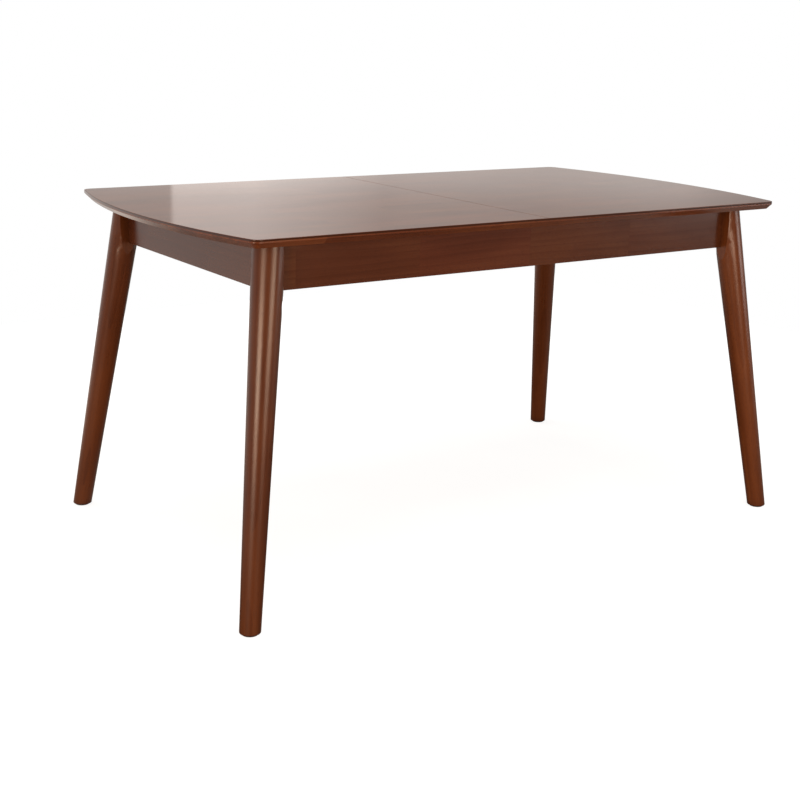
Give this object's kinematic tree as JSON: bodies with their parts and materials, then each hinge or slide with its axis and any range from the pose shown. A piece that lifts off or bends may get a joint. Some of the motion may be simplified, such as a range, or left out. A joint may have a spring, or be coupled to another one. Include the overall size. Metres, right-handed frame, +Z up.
{
  "type": "extending dining table",
  "caption": "Extending dining table with bowed ends, splayed tapered legs, sliding top halves and a folding leaf stored under the seam.",
  "frame": {"origin": "centre of the table on the floor plane, the bottom centre of the closed table's box", "axes": "+X along the table's length, the way the right half slides out; +Y across the table to the back; +Z up"},
  "size_m": [1.505, 0.8916, 0.76],
  "materials": {
    "dowel_wood": "plain turned dowel",
    "hinge_brass": "satin brass",
    "plain_hardwood": "plain sanded hardwood",
    "plastic": "dark moulded plastic, matt",
    "stained_frame": "dark red-brown stain under a satin lacquer, grain along each piece",
    "stained_top": "dark red-brown stain under a satin lacquer, fine grain along the length",
    "zinc_steel": "zinc plated steel"
  },
  "bodies": {
    "frame": {"apron_back": "stained_frame", "apron_front": "stained_frame", "apron_left": "stained_frame", "apron_right": "stained_frame", "corner_block_back_left": "plain_hardwood", "corner_block_back_right": "plain_hardwood", "corner_block_front_left": "plain_hardwood", "corner_block_front_right": "plain_hardwood", "cross_rail_left": "plain_hardwood", "cross_rail_right": "plain_hardwood", "foot_glide_back_left": "plastic", "foot_glide_back_right": "plastic", "foot_glide_front_left": "plastic", "foot_glide_front_right": "plastic", "frame_screws": "zinc_steel", "leaf_alignment_pins": "dowel_wood", "leaf_cleat_left": "plain_hardwood", "leaf_cleat_right": "plain_hardwood", "leaf_hinge_pins": "hinge_brass", "leaf_hinge_plates_lower": "hinge_brass", "leaf_hinge_plates_upper": "hinge_brass", "leaf_panel_lower": "stained_top", "leaf_panel_upper": "stained_top", "leaf_pivot_rod": "zinc_steel", "leaf_rod_bracket_left": "zinc_steel", "leaf_rod_bracket_right": "zinc_steel", "leaf_rod_saddles": "zinc_steel", "leg_back_left": "stained_frame", "leg_back_right": "stained_frame", "leg_bolt_nuts": "zinc_steel", "leg_bolt_washers": "zinc_steel", "leg_front_left": "stained_frame", "leg_front_right": "stained_frame", "leg_hanger_bolts": "zinc_steel", "slide_rail_back": "plain_hardwood", "slide_rail_front": "plain_hardwood", "slide_stops": "plastic"},
    "half_left": {"batten_left": "plain_hardwood", "lock_base_back": "zinc_steel", "lock_base_front": "zinc_steel", "runner_left_back": "plain_hardwood", "runner_left_front": "plain_hardwood", "top_left": "stained_top", "top_screws_left": "zinc_steel"},
    "half_right": {"batten_right": "plain_hardwood", "lock_keeper_back": "zinc_steel", "lock_keeper_front": "zinc_steel", "runner_right_back": "plain_hardwood", "runner_right_front": "plain_hardwood", "top_alignment_pins": "dowel_wood", "top_right": "stained_top", "top_screws_right": "zinc_steel"},
    "bolt_front": {"lock_bolt_front": "zinc_steel"},
    "bolt_back": {"lock_bolt_back": "zinc_steel"}
  },
  "joints": [
    {"name": "left_half_slide", "type": "slide", "parent": "frame", "child": "half_left", "axis": [-1, 0, 0], "range_m": [0, 0.2]},
    {"name": "right_half_slide", "type": "slide", "parent": "frame", "child": "half_right", "axis": [1, 0, 0], "range_m": [0, 0.2]},
    {"name": "front_lock_slide", "type": "slide", "parent": "half_left", "child": "bolt_front", "axis": [1, 0, 0], "range_m": [0, 0.014]},
    {"name": "back_lock_slide", "type": "slide", "parent": "half_left", "child": "bolt_back", "axis": [1, 0, 0], "range_m": [0, 0.014]}
  ]
}
